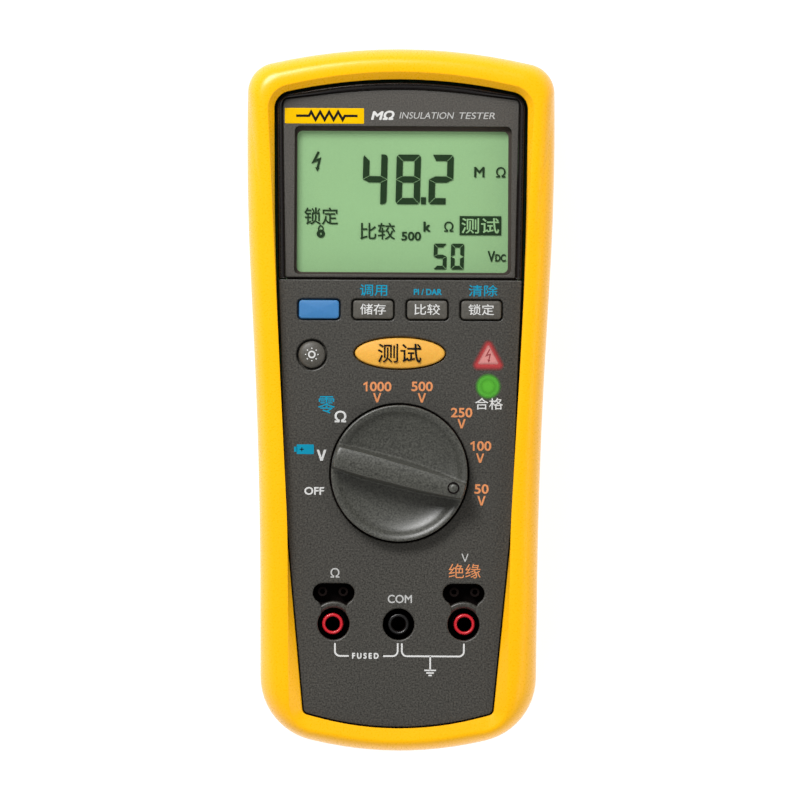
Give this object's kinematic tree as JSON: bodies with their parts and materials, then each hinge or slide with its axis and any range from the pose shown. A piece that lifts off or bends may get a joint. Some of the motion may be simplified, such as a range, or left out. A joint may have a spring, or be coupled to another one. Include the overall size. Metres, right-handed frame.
{
  "type": "insulation resistance tester",
  "caption": "Handheld insulation tester in a rubber holster, with a display, keys, rotary switch, shrouded input sockets, battery door and tilt stand.",
  "frame": {"origin": "middle of the footprint, on the plane that the instrument lies on", "axes": "+X to the right as seen from the front, +Y along the length towards the display end, +Z out of the front panel"},
  "size_m": [0.0886, 0.2031, 0.05],
  "materials": {
    "holster_rubber": "matte yellow elastomer",
    "front_plastic": "fine textured dark grey",
    "rear_plastic": "fine textured dark grey",
    "door_plastic": "fine textured dark grey",
    "gasket_rubber": "matte black",
    "bezel_plastic": "gloss black",
    "clear_lens": "clear, with a dark printed border",
    "lcd_green": "green liquid crystal",
    "diffuser_white": "white light guide",
    "zebra_rubber": "pink silicone",
    "silicone_grey": "grey silicone",
    "key_blue": "satin blue",
    "key_grey": "satin dark grey",
    "key_orange": "satin orange",
    "light_red": "translucent red",
    "light_green": "translucent green",
    "led_white": "white",
    "knob_plastic": "fine textured dark grey",
    "ivory_plastic": "ivory",
    "contact_gold": "gold plated",
    "spring_steel": "bright",
    "jack_red": "red",
    "jack_black": "black",
    "contact_nickel": "nickel plated",
    "board_green": "solder resist",
    "transformer_tape": "yellow tape on ferrite",
    "capacitor_sleeve": "blue sleeve",
    "relay_white": "white",
    "black_plastic": "black",
    "fuse_ceramic": "ivory ceramic",
    "tin_plate": "tinned",
    "cell_wrap": "black film on steel",
    "screw_steel": "zinc plated"
  },
  "bodies": {
    "instrument": {"holster": "holster_rubber", "front_case": "front_plastic", "rear_case": "rear_plastic", "case_gasket": "gasket_rubber", "display_bezel": "bezel_plastic", "display_lens": "clear_lens", "lcd_glass": "lcd_green", "lcd_backlight": "diffuser_white", "zebra_strips": "zebra_rubber", "keypad_mat": "silicone_grey", "hazard_light_pipe": "light_red", "pass_light_pipe": "light_green", "indicator_leds": "led_white", "detent_spring": "spring_steel", "jack_ring_ohm": "jack_red", "jack_ring_com": "jack_black", "jack_ring_volt": "jack_red", "jack_sleeve_ohm": "contact_nickel", "jack_sleeve_com": "contact_nickel", "jack_sleeve_volt": "contact_nickel", "probe_contacts": "contact_nickel", "main_board": "board_green", "boost_transformer": "transformer_tape", "hv_capacitors": "capacitor_sleeve", "relays": "relay_white", "buzzer": "black_plastic", "fuse": "fuse_ceramic", "fuse_clips": "tin_plate", "processor_chips": "black_plastic", "shield_can": "tin_plate", "battery_1": "cell_wrap", "battery_2": "cell_wrap", "battery_3": "cell_wrap", "battery_4": "cell_wrap", "battery_springs": "spring_steel", "battery_plates": "tin_plate", "case_screws": "screw_steel", "board_screws": "screw_steel"},
    "knob": {"rotary_knob": "knob_plastic", "knob_seal": "gasket_rubber", "switch_rotor": "ivory_plastic", "wiper_contacts": "contact_gold", "rotor_clip": "spring_steel"},
    "function_key": {"key_function": "key_blue"},
    "store_key": {"key_store": "key_grey"},
    "compare_key": {"key_compare": "key_grey"},
    "lock_key": {"key_lock": "key_grey"},
    "backlight_key": {"key_backlight": "key_grey"},
    "test_key": {"key_test": "key_orange"},
    "door": {"battery_door": "door_plastic"},
    "lock": {"door_lock": "screw_steel"},
    "stand": {"tilt_stand": "door_plastic"}
  },
  "joints": [
    {"name": "knob_turn", "type": "hinge", "parent": "instrument", "child": "knob", "pos_m": [0, -0.021, 0.045], "axis": [0, 0, 1], "range_deg": [0, 210]},
    {"name": "function_key_press", "type": "slide", "parent": "instrument", "child": "function_key", "axis": [0, 0, -1], "range_m": [0, 0.001], "stiffness_N_per_m": 300, "springref_m": -0.0005},
    {"name": "store_key_press", "type": "slide", "parent": "instrument", "child": "store_key", "axis": [0, 0, -1], "range_m": [0, 0.001], "stiffness_N_per_m": 300, "springref_m": -0.0005},
    {"name": "compare_key_press", "type": "slide", "parent": "instrument", "child": "compare_key", "axis": [0, 0, -1], "range_m": [0, 0.001], "stiffness_N_per_m": 300, "springref_m": -0.0005},
    {"name": "lock_key_press", "type": "slide", "parent": "instrument", "child": "lock_key", "axis": [0, 0, -1], "range_m": [0, 0.001], "stiffness_N_per_m": 300, "springref_m": -0.0005},
    {"name": "backlight_key_press", "type": "slide", "parent": "instrument", "child": "backlight_key", "axis": [0, 0, -1], "range_m": [0, 0.001], "stiffness_N_per_m": 300, "springref_m": -0.0005},
    {"name": "test_key_press", "type": "slide", "parent": "instrument", "child": "test_key", "axis": [0, 0, -1], "range_m": [0, 0.001], "stiffness_N_per_m": 300, "springref_m": -0.0005},
    {"name": "stand_hinge", "type": "hinge", "parent": "instrument", "child": "stand", "pos_m": [0, -0.003, 0.003], "axis": [1, 0, 0], "range_deg": [0, 50]},
    {"name": "door_lift", "type": "slide", "parent": "instrument", "child": "door", "axis": [0, 0, -1], "range_m": [0, 0.03]},
    {"name": "door_lock_turn", "type": "hinge", "parent": "door", "child": "lock", "pos_m": [0, 0.0082, 0.002], "axis": [0, 0, -1], "range_deg": [0, 90]}
  ]
}
